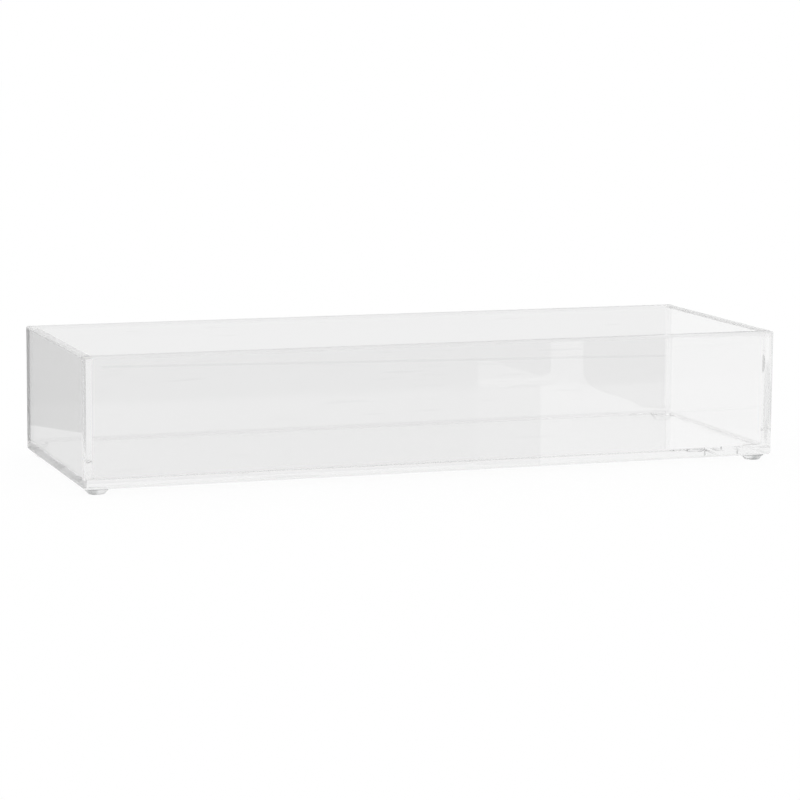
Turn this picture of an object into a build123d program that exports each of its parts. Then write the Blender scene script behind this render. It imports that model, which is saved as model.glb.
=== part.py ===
from build123d import *
import os

# Clear acrylic organizer tray, open at the top, on four small bumper feet.
# Five flat sheets are joined edge to face: the base lies under all four walls,
# the front and back walls run the full length, and the end walls fit between.
# Millimetres. The origin is on the surface that the tray stands on, below the
# middle of the tray. X runs along its length, -Y faces the front, +Z is up.

# Driving dimensions of the tray
tray_length = 300.0
tray_width = 105.0
body_height = 53.0
sheet_thickness = 4.0
corner_radius = 1.1
polished_edge_radius = 1.0

# Driving dimensions of the feet
foot_height = 2.5
foot_seat_diameter = 10.0
foot_sole_diameter = 6.4
foot_sole_radius = 0.5
foot_land = 0.4
foot_inset_x = 6.4
foot_inset_y = 5.8
adhesive_thickness = 0.15
adhesive_margin = 0.5

# Heights and inner sizes that follow from the driving dimensions
base_underside_z = foot_height
base_top_z = base_underside_z + sheet_thickness
rim_z = base_underside_z + body_height
inner_length = tray_length - 2 * sheet_thickness
inner_width = tray_width - 2 * sheet_thickness
wall_height = rim_z - base_top_z
long_wall_y = (tray_width - sheet_thickness) / 2
end_wall_x = (tray_length - sheet_thickness) / 2
foot_seat_z = base_underside_z - adhesive_thickness
foot_x = tray_length / 2 - foot_inset_x
foot_y = tray_width / 2 - foot_inset_y

os.makedirs("parts", exist_ok=True)


def write_piece(piece, node):
    """Label a finished piece and write it under its node's name."""
    piece.part.label = node
    export_step(piece.part, f"parts/{node}.step")


# The bonded shell as one form, which each sheet below takes its own share of.
# Its outer corners, its rim and its lower edges are polished round.
with BuildPart() as bonded_shell:
    with BuildSketch(Plane.XY.offset(base_underside_z)):
        Rectangle(tray_length, tray_width)
    extrude(amount=body_height)
    fillet(bonded_shell.edges().filter_by(Axis.Z), corner_radius)
    with BuildSketch(Plane.XY.offset(base_top_z)):
        Rectangle(inner_length, inner_width)
    extrude(amount=wall_height, mode=Mode.SUBTRACT)
    rim_face = bonded_shell.faces().sort_by(Axis.Z)[-1]
    underside_face = bonded_shell.faces().sort_by(Axis.Z)[0]
    fillet(rim_face.edges() + underside_face.edges(), polished_edge_radius)


# Base sheet, the full length and width, under all four walls
with BuildPart() as base_panel:
    with BuildSketch(Plane.XY.offset(base_underside_z)):
        Rectangle(tray_length, tray_width)
    extrude(amount=sheet_thickness)
    add(bonded_shell.part, mode=Mode.INTERSECT)
write_piece(base_panel, "base_panel")


# Long walls: full-length sheets that stand on the base at the front and back
for side, wall_y in (("front", -long_wall_y), ("back", long_wall_y)):
    with BuildPart() as long_wall:
        with BuildSketch(Plane.XY.offset(base_top_z)):
            with Locations((0, wall_y)):
                Rectangle(tray_length, sheet_thickness)
        extrude(amount=wall_height)
        add(bonded_shell.part, mode=Mode.INTERSECT)
    write_piece(long_wall, f"{side}_wall")


# End walls: short sheets on the base, between the two long walls
for side, wall_x in (("left", -end_wall_x), ("right", end_wall_x)):
    with BuildPart() as end_wall:
        with BuildSketch(Plane.XY.offset(base_top_z)):
            with Locations((wall_x, 0)):
                Rectangle(sheet_thickness, inner_width)
        extrude(amount=wall_height)
        add(bonded_shell.part, mode=Mode.INTERSECT)
    write_piece(end_wall, f"{side}_end_wall")


# Feet: tapered clear bumpers, each stuck under the base by an adhesive disc
foot_corners = {
    "front_left": (-foot_x, -foot_y),
    "front_right": (foot_x, -foot_y),
    "back_left": (-foot_x, foot_y),
    "back_right": (foot_x, foot_y),
}
for corner, (x, y) in foot_corners.items():
    # Half section of the bumper, spun about its upright axis: a flat seat, a
    # short straight land below it, then a taper down to the rounded sole
    with BuildPart() as foot:
        with BuildSketch(Plane.XZ.offset(-y)):
            with BuildLine():
                Polyline(
                    (x, 0),
                    (x + foot_sole_diameter / 2, 0),
                    (x + foot_seat_diameter / 2, foot_seat_z - foot_land),
                    (x + foot_seat_diameter / 2, foot_seat_z),
                    (x, foot_seat_z),
                    close=True,
                )
            make_face()
        revolve(axis=Axis((x, y, 0), (0, 0, 1)))
        sole_face = foot.faces().sort_by(Axis.Z)[0]
        fillet(sole_face.edges(), foot_sole_radius)
    write_piece(foot, f"{corner}_foot")

    with BuildPart() as adhesive:
        with BuildSketch(Plane.XY.offset(foot_seat_z)):
            with Locations((x, y)):
                Circle(foot_seat_diameter / 2 - adhesive_margin)
        extrude(amount=adhesive_thickness)
    write_piece(adhesive, f"{corner}_foot_adhesive")
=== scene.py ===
import math

import bmesh
import bpy
from mathutils import Matrix, Vector


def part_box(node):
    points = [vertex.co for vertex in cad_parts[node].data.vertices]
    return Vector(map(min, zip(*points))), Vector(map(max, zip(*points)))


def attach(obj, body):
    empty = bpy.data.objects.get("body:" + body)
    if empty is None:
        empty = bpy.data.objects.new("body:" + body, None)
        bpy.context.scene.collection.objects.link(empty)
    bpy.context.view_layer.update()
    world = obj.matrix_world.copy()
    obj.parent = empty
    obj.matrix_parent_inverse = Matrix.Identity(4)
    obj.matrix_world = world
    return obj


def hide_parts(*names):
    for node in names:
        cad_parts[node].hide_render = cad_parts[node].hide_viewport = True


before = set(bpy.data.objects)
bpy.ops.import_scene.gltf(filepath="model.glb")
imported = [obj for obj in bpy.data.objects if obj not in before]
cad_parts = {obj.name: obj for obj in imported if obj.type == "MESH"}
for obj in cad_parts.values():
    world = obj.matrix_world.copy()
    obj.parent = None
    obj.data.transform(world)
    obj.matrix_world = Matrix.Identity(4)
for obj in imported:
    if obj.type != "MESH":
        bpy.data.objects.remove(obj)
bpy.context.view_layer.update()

# The scene is in metres, so a size in millimetres is multiplied by this
MM = 0.001

# Rounded corners and edges of the sheets, as in the solid model
corner_radius = 1.1 * MM
edge_radius = 1.0 * MM
edge_steps = 6
seam_tolerance = 0.01 * MM
merge_distance = 0.001 * MM
sharp_edge_angle = math.radians(40)
even_shading_weight = 100

# Height of the cement line along the tray's floor, and width of the strip of painted shade at the left
# end's back
cement_line_height = 1.0 * MM
painted_shade_joint_width = 3.2 * MM

# Optics of the clear materials
acrylic_ior = 1.49
bumper_ior = 1.50
film_ior = 1.47

# The front face reflects a trace softer than the other faces
front_roughness = 0.018

# Cut edges: clear tint, roughness, depth of the ripple, share of milky frost
# The edges' scratches and dust are rougher by a fixed step
edge_looks = {
    "polished_cut_edge": (0.98, 0.02, 0.012 * MM, 0.0),
    "polished_rim": (0.92, 0.38, 0.004 * MM, 0.0),
    "polished_end_rim": (0.93, 0.26, 0.004 * MM, 0.30),
    # The left end of the back wall and the strip beside it are tinted dark as painted shade, with the
    # roughness of a sawn end
    "left_back_painted_shade": (0.38, 0.30, 0.01 * MM, 0.0),
    # The base's left end is tinted darker than its other cut edges
    "darker_left_base_end": (0.55, 0.10, 0.05 * MM, 0.0),
    "cement_line": (0.90, 0.10, 0.04 * MM, 0.0),
}
worn_edge_roughness = 0.18

# Hairline scratches and dust: how fine they are, which way the scratches run, how much they dim
hairline_scale = (30.0, 600.0, 500.0)
hairline_turn = (0.15, 0.1, 0.35)
dust_scale = 900.0
worn_dimming = 0.12

# Voids in the cement
void_scale = 140.0
void_grey = 0.80
void_roughness = 0.25
void_ripple_depth = 0.4 * MM

# Partly bonded patches in the joint at the front right corner: places from the outer end
blade_inset = 1.5 * MM
blade_half_width = 1.6 * MM
blade_centre_z = 25.0 * MM
blade_half_height = 18.0 * MM
blade_share = 0.45
leaf_inset = 3.7 * MM
leaf_half_width = 1.1 * MM
leaf_centre_z = 41.5 * MM
leaf_half_height = 4.0 * MM
leaf_share = 0.70

# Bumper feet
sole_radius = 3.2 * MM
sole_edge_radius = 0.5 * MM
seat_land = 0.4 * MM
seat_edge_radius = 0.15 * MM
sole_arc_steps = 5
seat_arc_steps = 3
foot_spokes = 48

# Shares of a radius: where a level face has its core, and how far the film's level faces are fused
level_core_share = 0.4
fused_film_share = 0.9

# Painted shade on the outer side of the front feet, where their colour turns to a dark grey
foot_shade_shift = 1.2 * MM
foot_shade_lead = 0.2 * MM
foot_shade_width = 1.8 * MM
foot_painted_shade_grey = (0.42, 0.43, 0.43, 1.0)

# Camera, fitted to the corners of the tray in the photograph
camera_yaw = math.radians(-19.543)
camera_pitch = math.radians(8.405)
camera_roll = math.radians(0.448)
camera_distance = 1230.6 * MM
camera_aside = 0.09 * MM
camera_raise = -4.17 * MM
focal_length_pixels = 2889.8
frame_pixels = 800
half_pixel = 0.5
sensor_width = 36.0

# Brightness of the studio, where 1 is white
white_for_camera = 1.0
white_in_glass = 0.915
floor_albedo = 0.05
left_card_grey = 0.47
left_floor_grey = 0.70
front_floor_grey = 0.45
front_gloss_grey = 0.0
crease_grey = 0.865
right_floor_grey = 0.96
right_base_grey = 1.05
bright_band_grey = 1.15
bright_near_grey = 1.1
mid_patch_grey = 0.8
mid_near_grey = 0.25
streak_grey = 1.3

# Light runs the length of a sheet in some seventy bounces between its faces
light_bounces = 128
see_through_bounces = 32

# The studio's floor and cards; the left card reaches past its foot by a share of its length
floor_reach = 4.0
floor_sink = 0.05 * MM
card_lift = 0.1 * MM
front_floor_reach = 0.9
front_card_gap = 25 * MM
left_card_reach = 0.2
left_card_height = 60 * MM
crease_width = 9 * MM

# Where the studio's greys show in the tray, in pixels of the photograph
left_card_foot = ((31, 425.0), (81, 432.5))
left_floor_outline = ((24, 424.0), (84, 433.0), (84, 486.0), (24, 449.0))
front_bright_band = ((550, 337), (583, 337), (583, 460), (540, 465), (540, 376), (550, 372))
front_bright_near = (
    (583, 376), (588, 384), (598, 391), (629, 400), (641, 407), (664, 409),
    (664, 337), (790, 337), (790, 455), (583, 462),
)
front_mid_patch = ((477, 361), (496, 361), (507, 366), (526, 371), (540, 376), (540, 388), (477, 388))
front_streak = ((477, 380), (569, 377), (569, 384), (477, 385))
front_mid_near = ((475, 388), (540, 386), (540, 465), (475, 467))
back_crease = ((100, 366.0), (664, 354.6))
right_floor_outline = ((664, 290), (800, 290), (800, 470), (664, 470))
right_base_outline = ((664, 412), (780, 451), (664, 458))

# Sizes read from the solid model
base_low, base_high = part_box("base_panel")
front_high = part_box("front_wall")[1]
left_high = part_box("left_end_wall")[1]
film_low, film_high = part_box("front_right_foot_adhesive")
foot_x = (film_low.x + film_high.x) / 2
foot_y = -(film_low.y + film_high.y) / 2
film_radius = (film_high.x - film_low.x) / 2
half_length = base_high.x
half_width = base_high.y
inner_half_length = -left_high.x
inner_half_width = -front_high.y
underside_z = base_low.z
floor_z = base_high.z
rim_z = front_high.z

# Places of the finishes in every sheet's list of materials
SHEET, CUT_EDGE, WELD, RIM, END_RIM, LEFT_BACK_PAINTED_SHADE, BASE_END, OVER_FEET, CEMENT_LINE, FRONT_FACE = range(10)


# Mesh helpers

def arc(centre_x, centre_y, radius, start, end, steps):
    """Points on a circular arc, angles in degrees."""
    points = []
    for step in range(steps + 1):
        angle = math.radians(start + (end - start) * step / steps)
        points.append((centre_x + radius * math.cos(angle), centre_y + radius * math.sin(angle)))
    return points


def stack_rings(bm, rings):
    """Join rings of equally many points, given as (outline, height), with side faces."""
    rows = [[bm.verts.new((x, y, z)) for x, y in outline] for outline, z in rings]
    for lower, upper in zip(rows, rows[1:]):
        for i in range(len(lower)):
            j = (i + 1) % len(lower)
            bm.faces.new((lower[i], lower[j], upper[j], upper[i]))
    return rows


def rounded_edge_rings(outline_at, start_z, radius, direction):
    """Rings that turn a wall's side over into its rim, or into its underside."""
    rings = []
    for step in range(edge_steps + 1):
        turn = math.radians(90 * step / edge_steps)
        inset = radius * (1 - math.cos(turn))
        rings.append((outline_at(inset), start_z + direction * radius * math.sin(turn)))
    return rings


def piece_from(bm, name, materials, replaced):
    """Turn a finished bmesh into a piece that rides on the tray and replaces its solid."""
    bmesh.ops.remove_doubles(bm, verts=bm.verts, dist=merge_distance)
    bmesh.ops.recalc_face_normals(bm, faces=bm.faces)
    mesh = bpy.data.meshes.new(name)
    bm.to_mesh(mesh)
    bm.free()
    for polygon in mesh.polygons:
        polygon.use_smooth = True
    mesh.set_sharp_from_angle(angle=sharp_edge_angle)
    for material in materials:
        mesh.materials.append(material)
    piece = bpy.data.objects.new(name, mesh)
    bpy.context.scene.collection.objects.link(piece)
    weighted = piece.modifiers.new("even_shading", "WEIGHTED_NORMAL")
    weighted.keep_sharp = True
    weighted.weight = even_shading_weight
    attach(piece, "root")
    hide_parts(replaced)
    return piece


def mark_faces(bm, finish_at):
    """Give each face the finish that belongs to its middle."""
    for face in bm.faces:
        face.material_index = finish_at(face.calc_center_median())


# Shader node groups that more than one finish uses

def new_group(name, inputs, outputs):
    """A shader node group with float inputs, given as (name, value), and named outputs."""
    group = bpy.data.node_groups.new(name, "ShaderNodeTree")
    for label, value in inputs:
        socket = group.interface.new_socket(name=label, in_out="INPUT", socket_type="NodeSocketFloat")
        socket.default_value = value
    for label, kind in outputs:
        group.interface.new_socket(name=label, in_out="OUTPUT", socket_type=kind)
    return group, group.nodes.new("NodeGroupInput"), group.nodes.new("NodeGroupOutput")


def math_node(tree, operation, first, second):
    """A math node whose two inputs are sockets or plain numbers."""
    node = tree.nodes.new("ShaderNodeMath")
    node.operation = operation
    for socket, value in zip(node.inputs, (first, second)):
        if isinstance(value, (int, float)):
            socket.default_value = value
        else:
            tree.links.new(value, socket)
    return node.outputs[0]


def noise_node(tree, position, scale, detail):
    """A noise texture over the object's own position, scaled by a socket or number."""
    noise = tree.nodes.new("ShaderNodeTexNoise")
    noise.inputs["Detail"].default_value = detail
    tree.links.new(position, noise.inputs["Vector"])
    if isinstance(scale, (int, float)):
        noise.inputs["Scale"].default_value = scale
    else:
        tree.links.new(scale, noise.inputs["Scale"])
    return noise.outputs["Fac"]


def ramp_node(tree, value, low, high):
    """Map a value from low..high to 0..1, clamped and eased."""
    ramp = tree.nodes.new("ShaderNodeMapRange")
    ramp.interpolation_type = "SMOOTHSTEP"
    ramp.inputs["From Min"].default_value = low
    ramp.inputs["From Max"].default_value = high
    tree.links.new(value, ramp.inputs["Value"])
    return ramp.outputs["Result"]


def build_sheet_ripple():
    """Long shallow ripple of cast sheet, as a height from 0 to 1."""
    group, given, result = new_group(
        "sheet_ripple",
        [("Ripples per metre", 12.0)],
        [("Height", "NodeSocketFloat")],
    )
    position = group.nodes.new("ShaderNodeTexCoord").outputs["Object"]
    height = noise_node(group, position, given.outputs["Ripples per metre"], detail=1.0)
    group.links.new(height, result.inputs["Height"])
    return group


def build_handling_marks():
    """Fine hairline scratches and dust, as a mask and as a slight dimming of the colour."""
    group, given, result = new_group(
        "handling_marks",
        [("Scratches", 0.5), ("Dust", 0.5), ("Clear tint", 0.985)],
        [("Mask", "NodeSocketFloat"), ("Colour", "NodeSocketColor")],
    )
    position = group.nodes.new("ShaderNodeTexCoord").outputs["Object"]
    stretch = group.nodes.new("ShaderNodeMapping")
    stretch.inputs["Scale"].default_value = hairline_scale
    stretch.inputs["Rotation"].default_value = hairline_turn
    group.links.new(position, stretch.inputs["Vector"])
    streaks = noise_node(group, stretch.outputs["Vector"], scale=1.0, detail=2.0)
    hairline = ramp_node(group, streaks, low=0.66, high=0.74)
    scratches = math_node(group, "MULTIPLY", hairline, given.outputs["Scratches"])
    grains = noise_node(group, position, scale=dust_scale, detail=2.0)
    speck = ramp_node(group, grains, low=0.70, high=0.76)
    dust = math_node(group, "MULTIPLY", speck, given.outputs["Dust"])
    mask = math_node(group, "MAXIMUM", scratches, dust)
    group.links.new(mask, result.inputs["Mask"])
    dimming = math_node(group, "MULTIPLY", mask, worn_dimming)
    level = math_node(group, "SUBTRACT", given.outputs["Clear tint"], dimming)
    colour = group.nodes.new("ShaderNodeCombineColor")
    for channel in colour.inputs:
        group.links.new(level, channel)
    group.links.new(colour.outputs["Color"], result.inputs["Colour"])
    return group


def build_stuck_discs():
    """1 outside the four round patches where the feet are stuck to the base, 0 inside them."""
    group, given, result = new_group(
        "stuck_discs",
        [("Disc radius", film_radius)],
        [("Outside", "NodeSocketFloat")],
    )
    group.interface.new_socket(name="Position", in_out="INPUT", socket_type="NodeSocketVector")
    folded = group.nodes.new("ShaderNodeVectorMath")
    folded.operation = "ABSOLUTE"
    group.links.new(given.outputs["Position"], folded.inputs[0])
    flat = group.nodes.new("ShaderNodeVectorMath")
    flat.operation = "MULTIPLY"
    flat.inputs[1].default_value = (1.0, 1.0, 0.0)
    group.links.new(folded.outputs[0], flat.inputs[0])
    distance = group.nodes.new("ShaderNodeVectorMath")
    distance.operation = "DISTANCE"
    distance.inputs[1].default_value = (foot_x, foot_y, 0.0)
    group.links.new(flat.outputs[0], distance.inputs[0])
    outside = math_node(group, "GREATER_THAN", distance.outputs["Value"], given.outputs["Disc radius"])
    group.links.new(outside, result.inputs["Outside"])
    return group


def place_group(tree, group, **values):
    """Put a node group in a material with this material's own values."""
    node = tree.nodes.new("ShaderNodeGroup")
    node.node_tree = group
    for label, value in values.items():
        node.inputs[label.replace("_", " ")].default_value = value
    return node


def clear_material(name, ior, frost=0.0):
    """A see-through material and its Principled shader, with a share of milky frost."""
    material = bpy.data.materials.new(name)
    material.use_nodes = True
    tree = material.node_tree
    shader = tree.nodes["Principled BSDF"]
    shader.inputs["IOR"].default_value = ior
    shader.inputs["Transmission Weight"].default_value = 1.0 - frost
    shader.inputs["Metallic"].default_value = 0.0
    return material, tree, shader


def link_roughness(tree, shader, mask, smooth, rough):
    """Roughness between smooth and rough by the mask."""
    spread = tree.nodes.new("ShaderNodeMapRange")
    spread.inputs["To Min"].default_value = smooth
    spread.inputs["To Max"].default_value = rough
    tree.links.new(mask, spread.inputs["Value"])
    tree.links.new(spread.outputs["Result"], shader.inputs["Roughness"])


def link_bump(tree, shader, height, depth):
    """Bump of the given depth in metres."""
    bump = tree.nodes.new("ShaderNodeBump")
    bump.inputs["Strength"].default_value = 1.0
    bump.inputs["Distance"].default_value = depth
    tree.links.new(height, bump.inputs["Height"])
    tree.links.new(bump.outputs["Normal"], shader.inputs["Normal"])


# Finishes

def clear_acrylic_face(ripple, marks, name="clear_acrylic_face", roughness=0.0):
    """The large polished faces of the cast acrylic sheet."""
    material, tree, shader = clear_material(name, acrylic_ior)
    wear = place_group(tree, marks, Scratches=0.35, Dust=0.5, Clear_tint=0.985)
    wave = place_group(tree, ripple, Ripples_per_metre=14.0)
    tree.links.new(wear.outputs["Colour"], shader.inputs["Base Color"])
    link_roughness(tree, shader, wear.outputs["Mask"], smooth=roughness, rough=0.10)
    link_bump(tree, shader, wave.outputs["Height"], depth=0.06 * MM)
    return material


def cut_edge_finish(ripple, marks, name):
    """A cut edge of the sheet: polished along the base, duller at the rim and at the ends."""
    tint, roughness, wave_depth, frost = edge_looks[name]
    material, tree, shader = clear_material(name, acrylic_ior, frost)
    wear = place_group(tree, marks, Scratches=0.8, Dust=0.6, Clear_tint=tint)
    wave = place_group(tree, ripple, Ripples_per_metre=60.0)
    tree.links.new(wear.outputs["Colour"], shader.inputs["Base Color"])
    worn = roughness + worn_edge_roughness
    link_roughness(tree, shader, wear.outputs["Mask"], smooth=roughness, rough=worn)
    link_bump(tree, shader, wave.outputs["Height"], depth=wave_depth)
    return material


def sheet_over_feet(ripple, marks, discs):
    """The underside of the base: a sheet face that is clear through where the feet are stuck."""
    material = clear_acrylic_face(ripple, marks, "clear_acrylic_underside")
    tree = material.node_tree
    place = tree.nodes.new("ShaderNodeTexCoord").outputs["Object"]
    disc = place_group(tree, discs, Disc_radius=film_radius)
    tree.links.new(place, disc.inputs["Position"])
    tree.links.new(disc.outputs["Outside"], tree.nodes["Principled BSDF"].inputs["Alpha"])
    return material


def oval_patch(tree, position, inset, centre_z, half_width, half_height):
    """1 inside an upright oval patch of the right end's joints, easing to 0 at its outline."""
    axes = tree.nodes.new("ShaderNodeSeparateXYZ")
    tree.links.new(position, axes.inputs[0])
    aside = math_node(tree, "SUBTRACT", axes.outputs["X"], half_length - inset)
    aside = math_node(tree, "DIVIDE", aside, half_width)
    raised = math_node(tree, "SUBTRACT", axes.outputs["Z"], centre_z)
    raised = math_node(tree, "DIVIDE", raised, half_height)
    aside_squared = math_node(tree, "MULTIPLY", aside, aside)
    raised_squared = math_node(tree, "MULTIPLY", raised, raised)
    reach = math_node(tree, "ADD", aside_squared, raised_squared)
    inside = ramp_node(tree, reach, low=1.15, high=0.75)
    in_front = math_node(tree, "LESS_THAN", axes.outputs["Y"], 0.0)
    return math_node(tree, "MULTIPLY", inside, in_front)


def cement_weld(ripple):
    """Faces fused by solvent cement: clear right through, apart from voids and weak patches."""
    material, tree, shader = clear_material("cement_weld", acrylic_ior)
    position = tree.nodes.new("ShaderNodeTexCoord").outputs["Object"]
    wave = place_group(tree, ripple, Ripples_per_metre=60.0)
    mottle = noise_node(tree, position, scale=void_scale, detail=2.0)
    bubble = ramp_node(tree, mottle, low=0.80, high=0.82)
    blade = oval_patch(tree, position, blade_inset, blade_centre_z, blade_half_width, blade_half_height)
    leaf = oval_patch(tree, position, leaf_inset, leaf_centre_z, leaf_half_width, leaf_half_height)
    blade = math_node(tree, "MULTIPLY", blade, blade_share)
    leaf = math_node(tree, "MULTIPLY", leaf, leaf_share)
    void = math_node(tree, "MAXIMUM", bubble, math_node(tree, "MAXIMUM", blade, leaf))
    tree.links.new(void, shader.inputs["Alpha"])
    shader.inputs["Base Color"].default_value = (void_grey, void_grey, void_grey, 1.0)
    shader.inputs["Roughness"].default_value = void_roughness
    link_bump(tree, shader, wave.outputs["Height"], depth=void_ripple_depth)
    return material


def clear_bumper(ripple, marks):
    """Soft clear polyurethane of the feet, with a satin skin, and painted shade on the outer side of
    the front feet.
    """
    material, tree, shader = clear_material("clear_bumper", bumper_ior)
    wear = place_group(tree, marks, Scratches=0.2, Dust=0.9, Clear_tint=0.92)
    wave = place_group(tree, ripple, Ripples_per_metre=500.0)
    place = tree.nodes.new("ShaderNodeTexCoord").outputs["Object"]
    axes = tree.nodes.new("ShaderNodeSeparateXYZ")
    tree.links.new(place, axes.inputs[0])
    # Painted shade: the outer side of the front feet is mixed towards a dark grey
    shifted = math_node(tree, "ADD", axes.outputs["X"], foot_shade_shift)
    outward = math_node(tree, "ABSOLUTE", shifted, 0.0)
    in_front = math_node(tree, "LESS_THAN", axes.outputs["Y"], 0.0)
    shade_start = foot_x - foot_shade_lead - foot_shade_shift
    outer_side = ramp_node(tree, outward, low=shade_start, high=shade_start + foot_shade_width)
    shade = math_node(tree, "MULTIPLY", outer_side, in_front)
    # A Mix node's colours are its inputs 6 and 7 and its output 2
    painted_shade_mix = tree.nodes.new("ShaderNodeMix")
    painted_shade_mix.data_type = "RGBA"
    painted_shade_mix.inputs[7].default_value = foot_painted_shade_grey
    tree.links.new(shade, painted_shade_mix.inputs["Factor"])
    tree.links.new(wear.outputs["Colour"], painted_shade_mix.inputs[6])
    tree.links.new(painted_shade_mix.outputs[2], shader.inputs["Base Color"])
    link_roughness(tree, shader, wear.outputs["Mask"], smooth=0.30, rough=0.45)
    link_bump(tree, shader, wave.outputs["Height"], depth=0.05 * MM)
    return material


def adhesive_film(ripple, marks):
    """Clear adhesive under the bumpers, with the mottle of trapped air."""
    material, tree, shader = clear_material("adhesive_film", film_ior)
    wear = place_group(tree, marks, Scratches=0.0, Dust=1.0, Clear_tint=0.96)
    wave = place_group(tree, ripple, Ripples_per_metre=900.0)
    tree.links.new(wear.outputs["Colour"], shader.inputs["Base Color"])
    link_roughness(tree, shader, wear.outputs["Mask"], smooth=0.15, rough=0.45)
    link_bump(tree, shader, wave.outputs["Height"], depth=0.04 * MM)
    return material


# Pieces

def long_wall_outline(inset):
    """Outline of the front wall from above, drawn in by inset at its rounded rim."""
    centre_x = half_length - corner_radius
    centre_y = half_width - corner_radius
    bend = corner_radius - inset
    end_x = half_length - inset
    notch_x = inner_half_length + inset
    notch_y = inner_half_width + inset
    left_corner = arc(-centre_x, -centre_y, bend, 180, 270, edge_steps)
    right_corner = arc(centre_x, -centre_y, bend, 270, 360, edge_steps)
    inner_side = [
        (end_x, -inner_half_width),
        (notch_x, -inner_half_width),
        (notch_x, -notch_y),
        (-notch_x, -notch_y),
        (-notch_x, -inner_half_width),
        (-end_x, -inner_half_width),
    ]
    return left_corner + right_corner + inner_side


def long_wall(side, materials):
    """A full-length wall: standing on the base, its ends in the end faces of the tray."""
    bm = bmesh.new()
    rings = [(long_wall_outline(0.0), floor_z), (long_wall_outline(0.0), floor_z + cement_line_height)]
    rings += rounded_edge_rings(long_wall_outline, rim_z - edge_radius, edge_radius, 1)
    rows = stack_rings(bm, rings)
    bm.faces.new(rows[0])
    bm.faces.new(rows[-1])

    def finish_at(middle):
        on_base = abs(middle.z - floor_z) < seam_tolerance
        on_inner_side = abs(middle.y + inner_half_width) < seam_tolerance
        on_end_wall = on_inner_side and abs(middle.x) > inner_half_length
        if on_base or on_end_wall:
            return WELD
        if middle.z > rim_z - edge_radius:
            return RIM
        if abs(middle.x) > half_length - corner_radius:
            # The left end of the back wall is tinted dark as painted shade
            return LEFT_BACK_PAINTED_SHADE if side == "back" and middle.x < 0 else CUT_EDGE
        if side == "front":
            return FRONT_FACE if middle.y < seam_tolerance - half_width else SHEET
        return CEMENT_LINE if on_inner_side and middle.z < floor_z + cement_line_height else SHEET

    mark_faces(bm, finish_at)
    if side == "back":
        bmesh.ops.scale(bm, vec=(1, -1, 1), verts=bm.verts)
    return piece_from(bm, f"{side}_wall_sheet", materials, f"{side}_wall")


def end_wall(side, materials):
    """A short wall between the two long walls."""
    sign = -1 if side == "left" else 1

    def outline_at(inset):
        near = sign * (inner_half_length + inset)
        far = sign * (half_length - inset)
        return [
            (near, -inner_half_width),
            (far, -inner_half_width),
            (far, inner_half_width - painted_shade_joint_width),
            (far, inner_half_width),
            (near, inner_half_width),
        ]

    bm = bmesh.new()
    rings = [(outline_at(0.0), floor_z), (outline_at(0.0), floor_z + cement_line_height)]
    rings += rounded_edge_rings(outline_at, rim_z - edge_radius, edge_radius, 1)
    rows = stack_rings(bm, rings)
    bm.faces.new(rows[0])
    bm.faces.new(rows[-1])

    def finish_at(middle):
        on_base = abs(middle.z - floor_z) < seam_tolerance
        on_long_wall = abs(abs(middle.y) - inner_half_width) < seam_tolerance
        if on_base or on_long_wall:
            return WELD
        if middle.z > rim_z - edge_radius:
            return END_RIM
        # A strip of painted shade along the left end's outer face, next to the back wall
        if middle.x < seam_tolerance - half_length and middle.y > inner_half_width - painted_shade_joint_width:
            return LEFT_BACK_PAINTED_SHADE
        on_inner_side = abs(abs(middle.x) - inner_half_length) < seam_tolerance
        return CEMENT_LINE if on_inner_side and middle.z < floor_z + cement_line_height else SHEET

    mark_faces(bm, finish_at)
    return piece_from(bm, f"{side}_end_sheet", materials, f"{side}_end_wall")


def base_outline(inset):
    """Outline of the base from above, with its four rounded corners."""
    centre_x = half_length - corner_radius
    centre_y = half_width - corner_radius
    bend = corner_radius - inset
    return (
        arc(-centre_x, -centre_y, bend, 180, 270, edge_steps)
        + arc(centre_x, -centre_y, bend, 270, 360, edge_steps)
        + arc(centre_x, centre_y, bend, 0, 90, edge_steps)
        + arc(-centre_x, centre_y, bend, 90, 180, edge_steps)
    )


def base_sheet(materials):
    """The base under all four walls, welded to them in a ring round the tray's floor."""
    bm = bmesh.new()
    rings = rounded_edge_rings(base_outline, underside_z + edge_radius, edge_radius, -1)
    rings.reverse()
    rings.append((base_outline(0.0), floor_z))
    rows = stack_rings(bm, rings)
    bm.faces.new(rows[0])
    outer = rows[-1]
    inner_corners = (
        (-inner_half_length, -inner_half_width),
        (inner_half_length, -inner_half_width),
        (inner_half_length, inner_half_width),
        (-inner_half_length, inner_half_width),
    )
    inner = [bm.verts.new((x, y, floor_z)) for x, y in inner_corners]
    bm.faces.new(inner)
    points_per_corner = edge_steps + 1
    middle_of_corner = edge_steps // 2
    for side in range(len(inner)):
        start = side * points_per_corner + middle_of_corner
        stop = (side + 1) * points_per_corner + middle_of_corner
        outer_run = [outer[i % len(outer)] for i in range(start, stop + 1)]
        bm.faces.new(outer_run + [inner[(side + 1) % len(inner)], inner[side]])

    def finish_at(middle):
        in_ring = abs(middle.x) > inner_half_length or abs(middle.y) > inner_half_width
        if abs(middle.z - floor_z) < seam_tolerance:
            return WELD if in_ring else SHEET
        if middle.z < underside_z + seam_tolerance:
            return OVER_FEET
        if middle.z < underside_z + edge_radius and middle.y < -inner_half_width:
            return END_RIM
        # The base's left end takes a darker tint than the other cut edges
        return BASE_END if middle.x < corner_radius - half_length else CUT_EDGE

    mark_faces(bm, finish_at)
    return piece_from(bm, "base_sheet", materials, "base_panel")


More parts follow.
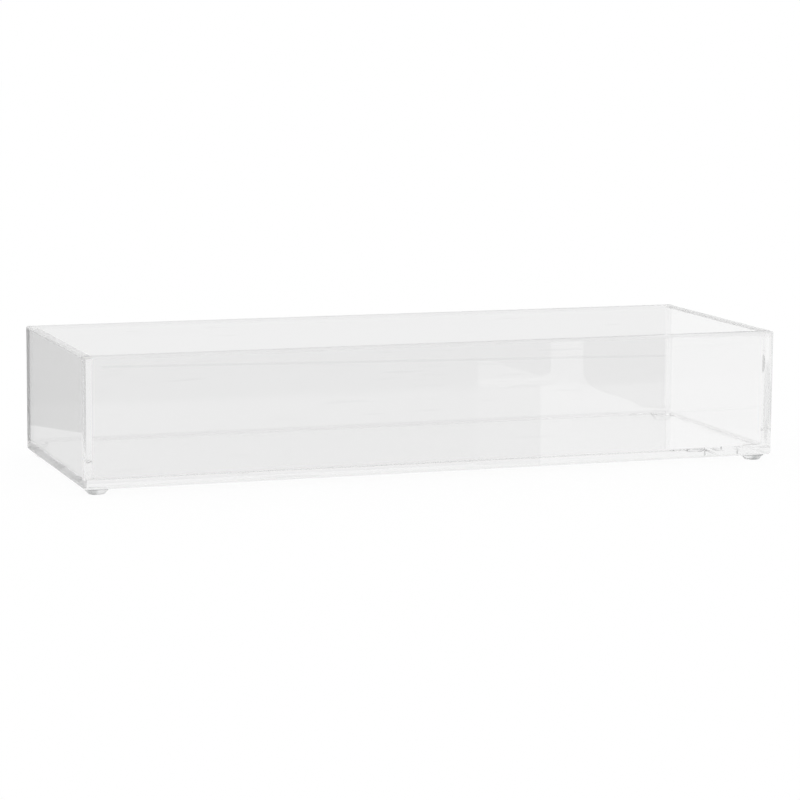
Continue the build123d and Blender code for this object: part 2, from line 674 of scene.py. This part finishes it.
def spun_piece(name, profile, centre, materials, stuck_radius, replaced):
    """A round piece from a profile of (radius, height) points, closed by a level face at each end.

    Its level faces within the stuck radius take the last material, the rest the first.
    """
    bm = bmesh.new()
    rings = []
    for radius, height in profile:
        outline = []
        for spoke in range(foot_spokes):
            angle = 2 * math.pi * spoke / foot_spokes
            outline.append((centre.x + radius * math.cos(angle), centre.y + radius * math.sin(angle)))
        rings.append((outline, height))
    rows = stack_rings(bm, rings)
    bm.faces.new(rows[0])
    bm.faces.new(rows[-1])

    stuck_z = film_low.z - seam_tolerance

    def finish_at(middle):
        reach = math.hypot(middle.x - centre.x, middle.y - centre.y)
        return len(materials) - 1 if middle.z > stuck_z and reach < stuck_radius else 0

    mark_faces(bm, finish_at)
    return piece_from(bm, name, materials, replaced)


def foot_piece(corner, bumper, film, fused):
    """A tapered bumper with its rounded sole, and the adhesive disc above it."""
    low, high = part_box(f"{corner}_foot")
    centre = (low + high) / 2
    seat_radius = (high.x - low.x) / 2
    taper = math.atan2(high.z - low.z - seat_land, seat_radius - sole_radius)
    taper_turn = math.degrees(taper) - 90
    sole_arc_x = sole_radius - sole_edge_radius / math.tan((math.pi - taper) / 2)
    sole_arc_z = low.z + sole_edge_radius
    seat_arc_x = seat_radius - seat_edge_radius
    seat_arc_z = high.z - seat_edge_radius
    core_radius = level_core_share * sole_radius
    profile = [(core_radius, low.z)]
    profile += arc(sole_arc_x, sole_arc_z, sole_edge_radius, -90, taper_turn, sole_arc_steps)
    profile.append((seat_radius, high.z - seat_land))
    profile += arc(seat_arc_x, seat_arc_z, seat_edge_radius, 0, 90, seat_arc_steps)
    profile.append((film_radius, high.z))
    profile.append((core_radius, high.z))
    bumper_name = f"{corner}_bumper"
    bumper_looks = [bumper, fused]
    spun_piece(bumper_name, profile, centre, bumper_looks, film_radius, f"{corner}_foot")

    film_core = level_core_share * film_radius
    film_profile = [
        (film_core, film_low.z),
        (film_radius, film_low.z),
        (film_radius, film_high.z),
        (film_core, film_high.z),
    ]
    film_name = f"{corner}_film"
    film_looks = [film, fused]
    level_radius = fused_film_share * film_radius
    disc = f"{corner}_foot_adhesive"
    spun_piece(film_name, film_profile, centre, film_looks, level_radius, disc)


# Studio

def light_path_sum(tree, labels):
    """1 for a ray of any of the named kinds, otherwise 0."""
    path = tree.nodes.new("ShaderNodeLightPath")
    total = path.outputs[labels[0]]
    for label in labels[1:]:
        total = math_node(tree, "MAXIMUM", total, path.outputs[label])
    return total


def background_level(tree, for_camera, in_glass, elsewhere):
    """Brightness of the background: for the camera, for glass and gloss, and for light."""
    seen = light_path_sum(tree, ["Is Camera Ray", "Is Glossy Ray", "Is Transmission Ray"])
    camera = light_path_sum(tree, ["Is Camera Ray"])
    glass_part = math_node(tree, "MULTIPLY", seen, in_glass - elsewhere)
    camera_part = math_node(tree, "MULTIPLY", camera, for_camera - in_glass)
    return math_node(tree, "ADD", math_node(tree, "ADD", glass_part, camera_part), elsewhere)


def white_world():
    """An even white studio all round."""
    world = bpy.data.worlds.new("white_studio")
    bpy.context.scene.world = world
    world.use_nodes = True
    tree = world.node_tree
    background = tree.nodes["Background"]
    background.inputs["Color"].default_value = (1.0, 1.0, 1.0, 1.0)
    level = background_level(tree, white_for_camera, white_in_glass, 1.0)
    tree.links.new(level, background.inputs["Strength"])


def flat_stage(name, corners, material):
    """A flat stage piece through the given corners."""
    mesh = bpy.data.meshes.new(name)
    mesh.from_pydata(corners, [], [list(range(len(corners)))])
    mesh.materials.append(material)
    stage = bpy.data.objects.new(name, mesh)
    bpy.context.scene.collection.objects.link(stage)
    return stage


def white_floor():
    """A pale floor that shows white, also through the acrylic, and keeps soft shadows."""
    material = bpy.data.materials.new("white_floor")
    material.use_nodes = True
    tree = material.node_tree
    tree.nodes.remove(tree.nodes["Principled BSDF"])
    output = tree.nodes["Material Output"]
    diffuse = tree.nodes.new("ShaderNodeBsdfDiffuse")
    diffuse.inputs["Color"].default_value = (floor_albedo, floor_albedo, floor_albedo, 1.0)
    glow = tree.nodes.new("ShaderNodeEmission")
    level = background_level(
        tree,
        white_for_camera - floor_albedo,
        white_in_glass - floor_albedo,
        1.0 - floor_albedo,
    )
    tree.links.new(level, glow.inputs["Strength"])
    total = tree.nodes.new("ShaderNodeAddShader")
    tree.links.new(diffuse.outputs[0], total.inputs[0])
    tree.links.new(glow.outputs[0], total.inputs[1])
    tree.links.new(total.outputs[0], output.inputs["Surface"])
    outline = [
        (-floor_reach, -floor_reach),
        (floor_reach, -floor_reach),
        (floor_reach, floor_reach),
        (-floor_reach, floor_reach),
    ]
    flat_stage("floor", [(x, y, -floor_sink) for x, y in outline], material)


def grey_card(name, corners, grey, mirrored_only=False):
    """A plain grey card for gloss and glass, or only for what has been mirrored on the way."""
    material = bpy.data.materials.new(name)
    material.use_nodes = True
    tree = material.node_tree
    tree.nodes.remove(tree.nodes["Principled BSDF"])
    surface = tree.nodes["Material Output"].inputs["Surface"]
    glow = tree.nodes.new("ShaderNodeEmission")
    glow.inputs["Color"].default_value = (grey, grey, grey, 1.0)
    if mirrored_only:
        mirrorings = tree.nodes.new("ShaderNodeLightPath").outputs["Glossy Depth"]
        choice = tree.nodes.new("ShaderNodeMixShader")
        tree.links.new(math_node(tree, "GREATER_THAN", mirrorings, 0.0), choice.inputs[0])
        tree.links.new(tree.nodes.new("ShaderNodeBsdfTransparent").outputs[0], choice.inputs[1])
        tree.links.new(glow.outputs[0], choice.inputs[2])
        tree.links.new(choice.outputs[0], surface)
    else:
        tree.links.new(glow.outputs[0], surface)
    card = flat_stage(name, corners, material)
    card.visible_camera = False
    card.visible_diffuse = False
    card.visible_shadow = False
    return card


def lying_card(name, places, height, grey, mirrored_only=False):
    """A card that lies just above the floor, with its corners over the given places."""
    corners = [(place.x, place.y, height) for place in places]
    return grey_card(name, corners, grey, mirrored_only)


def floor_cards():
    """Greys of the table in front of the tray, as the front wall reflects them.

    The patches show on the front wall where the photograph has them.
    """
    lift = card_lift
    reach = front_floor_reach
    front_y = -half_width - front_card_gap
    outline = [(-reach, front_y), (-reach, -reach), (reach, -reach), (reach, front_y)]
    grey_card("front_floor", [(x, y, lift) for x, y in outline], front_floor_grey, mirrored_only=True)
    lift += card_lift
    gloss_card = grey_card("front_gloss", [(x, y, lift) for x, y in outline], front_gloss_grey)
    gloss_card.visible_transmission = False
    patches = (
        ("front_bright_band", front_bright_band, bright_band_grey),
        ("front_bright_near", front_bright_near, bright_near_grey),
        ("front_mid_patch", front_mid_patch, mid_patch_grey),
        ("front_mid_near", front_mid_near, mid_near_grey),
        ("front_streak", front_streak, streak_grey),
    )
    for name, pixels, grey in patches:
        lift += card_lift
        places = [floor_mirrored_at(pixel, 1, -half_width) for pixel in pixels]
        lying_card(name, places, lift, grey).visible_transmission = False


def left_cards():
    """The darker surroundings that the left end reflects: a dim floor, then a card behind it."""
    near, far = [floor_mirrored_at(pixel, 0, -half_length) for pixel in left_card_foot]
    along = (far - near) * left_card_reach
    ends = (near - along, far + along)
    corners = [(place.x, place.y, 0.0) for place in ends]
    corners += [(place.x, place.y, left_card_height) for place in reversed(ends)]
    grey_card("left_card", corners, left_card_grey, mirrored_only=True)
    places = [floor_mirrored_at(pixel, 0, -half_length) for pixel in left_floor_outline]
    lying_card("left_floor", places, card_lift, left_floor_grey, mirrored_only=True)


def crease():
    """The line where the backdrop starts to rise, seen faintly through the acrylic."""
    near, far = [floor_at(pixel) for pixel in back_crease]
    across = (far - near).cross(Vector((0, 0, 1))).normalized() * crease_width / 2
    places = [near - across, far - across, far + across, near + across]
    lying_card("backdrop_crease", places, card_lift, crease_grey)


def right_floor():
    """The brighter floor behind and under the right end, seen through it."""
    floor_places = [floor_at(pixel) for pixel in right_floor_outline]
    lying_card("right_floor", floor_places, card_lift, right_floor_grey)
    base_places = [floor_at(pixel) for pixel in right_base_outline]
    lying_card("right_base", base_places, 2 * card_lift, right_base_grey)


def camera_frame():
    """Place of the photograph's camera, and its right, up and sight directions."""
    sight = Vector((
        -math.sin(camera_yaw) * math.cos(camera_pitch),
        math.cos(camera_yaw) * math.cos(camera_pitch),
        -math.sin(camera_pitch),
    ))
    level_right = sight.cross(Vector((0, 0, 1))).normalized()
    level_up = level_right.cross(sight)
    right = math.cos(camera_roll) * level_right + math.sin(camera_roll) * level_up
    up = -math.sin(camera_roll) * level_right + math.cos(camera_roll) * level_up
    target = Vector((0, 0, (underside_z + rim_z) / 2))
    place = target - sight * camera_distance + right * camera_aside + up * camera_raise
    return place, right, up, sight


def camera():
    """The camera of the photograph."""
    place, right, up, sight = camera_frame()
    turn = Matrix((right, up, -sight)).transposed().to_4x4()
    data = bpy.data.cameras.new("camera")
    data.sensor_width = sensor_width
    data.lens = focal_length_pixels * sensor_width / frame_pixels
    holder = bpy.data.objects.new("camera", data)
    holder.matrix_world = Matrix.Translation(place) @ turn
    bpy.context.scene.collection.objects.link(holder)
    bpy.context.scene.camera = holder


def sight_line(pixel):
    """Start and direction of the camera's sight line through a pixel of the photograph."""
    place, right, up, sight = camera_frame()
    aside = (pixel[0] + half_pixel - frame_pixels / 2) / focal_length_pixels
    raised = (frame_pixels / 2 - pixel[1] - half_pixel) / focal_length_pixels
    return place, (sight + aside * right + raised * up).normalized()


def floor_at(pixel):
    """Place on the floor that a pixel looks at."""
    start, direction = sight_line(pixel)
    return start - direction * (start.z / direction.z)


def floor_mirrored_at(pixel, axis, face_position):
    """Place on the floor that a pixel shows by reflection in an upright face of the tray."""
    start, direction = sight_line(pixel)
    touch = start + direction * ((face_position - start[axis]) / direction[axis])
    direction[axis] = -direction[axis]
    return touch - direction * (touch.z / direction.z)


# The tray in its studio

ripple = build_sheet_ripple()
marks = build_handling_marks()
face_finish = clear_acrylic_face(ripple, marks)
front_finish = clear_acrylic_face(ripple, marks, "clear_acrylic_front", front_roughness)
edges = {name: cut_edge_finish(ripple, marks, name) for name in edge_looks}
weld_finish = cement_weld(ripple)
underside_finish = sheet_over_feet(ripple, marks, build_stuck_discs())
sheet_finishes = [
    face_finish,
    edges["polished_cut_edge"],
    weld_finish,
    edges["polished_rim"],
    edges["polished_end_rim"],
    edges["left_back_painted_shade"],
    edges["darker_left_base_end"],
    underside_finish,
    edges["cement_line"],
    front_finish,
]
bumper_finish = clear_bumper(ripple, marks)
film_finish = adhesive_film(ripple, marks)

base_sheet(sheet_finishes)
for side in ("front", "back"):
    long_wall(side, sheet_finishes)
for side in ("left", "right"):
    end_wall(side, sheet_finishes)
for corner in ("front_left", "front_right", "back_left", "back_right"):
    foot_piece(corner, bumper_finish, film_finish, weld_finish)

white_world()
white_floor()
floor_cards()
left_cards()
crease()
right_floor()
camera()

scene = bpy.context.scene
scene.view_settings.view_transform = "Standard"
scene.cycles.max_bounces = light_bounces
scene.cycles.transmission_bounces = light_bounces
scene.cycles.glossy_bounces = light_bounces
scene.cycles.transparent_max_bounces = see_through_bounces
